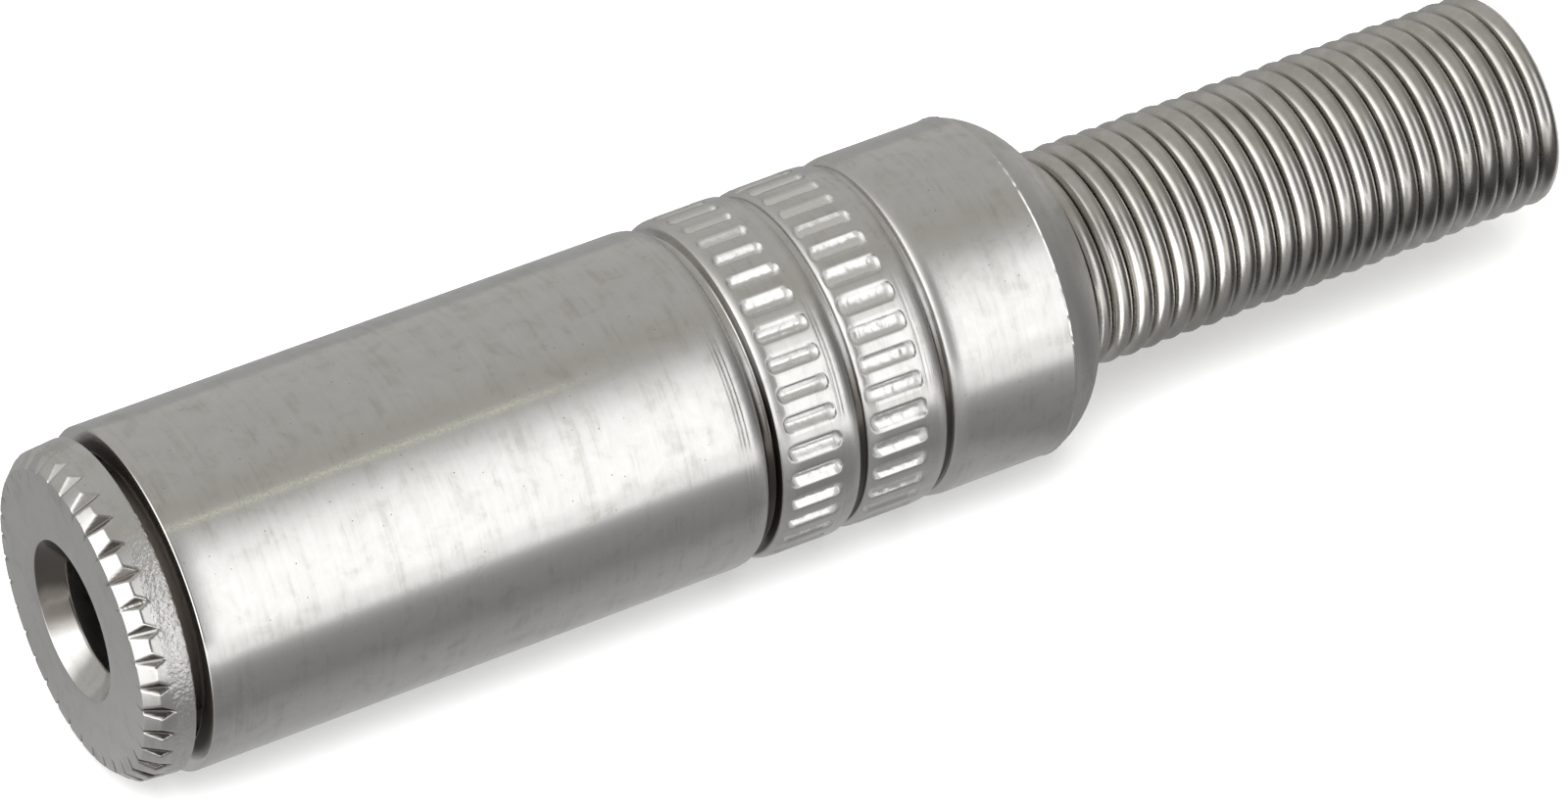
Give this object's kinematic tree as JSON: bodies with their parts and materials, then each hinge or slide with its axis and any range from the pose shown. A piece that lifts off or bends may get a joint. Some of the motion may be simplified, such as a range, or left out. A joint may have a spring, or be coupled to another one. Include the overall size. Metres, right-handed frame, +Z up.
{
  "type": "in-line stereo jack socket",
  "caption": "Metal in-line 3.5 mm stereo jack socket: notched nose with the plug's bore, screw-on barrel with knurled rings, and a coil spring strain relief for the cable.",
  "frame": {"origin": "on the surface that the socket lies on, under the middle of its length", "axes": "+X along the axis from the mouth to the cable end, +Z up, +Y completes a right-handed frame"},
  "size_m": [0.0466, 0.0102, 0.0101],
  "materials": {
    "nickel_plate": "satin nickel plating on turned brass",
    "spring_steel": "bright drawn wire",
    "insulation": "smooth translucent tube",
    "carrier_plastic": "black moulding",
    "contact_metal": "stamped strip"
  },
  "bodies": {
    "socket": {"front_bush": "nickel_plate", "contact_carrier": "carrier_plastic", "tip_contact": "contact_metal", "ring_contact": "contact_metal", "ground_lug": "contact_metal"},
    "strain_relief": {"strain_relief_spring": "spring_steel"},
    "sleeve": {"barrel": "nickel_plate", "insulating_tube": "insulation"}
  },
  "joints": [
    {"name": "sleeve_travel", "type": "slide", "parent": "socket", "child": "strain_relief", "axis": [1, 0, 0], "range_m": [-0.00038, 0.0045]},
    {"name": "sleeve_turn", "type": "hinge", "parent": "strain_relief", "child": "sleeve", "pos_m": [0, 0, 0.00506], "axis": [1, 0, 0], "range_deg": [-180, 2160]}
  ],
  "couplings": [
    {"joint": "sleeve_travel", "follows": "sleeve_turn", "m_per_rad": 0.00011937}
  ]
}
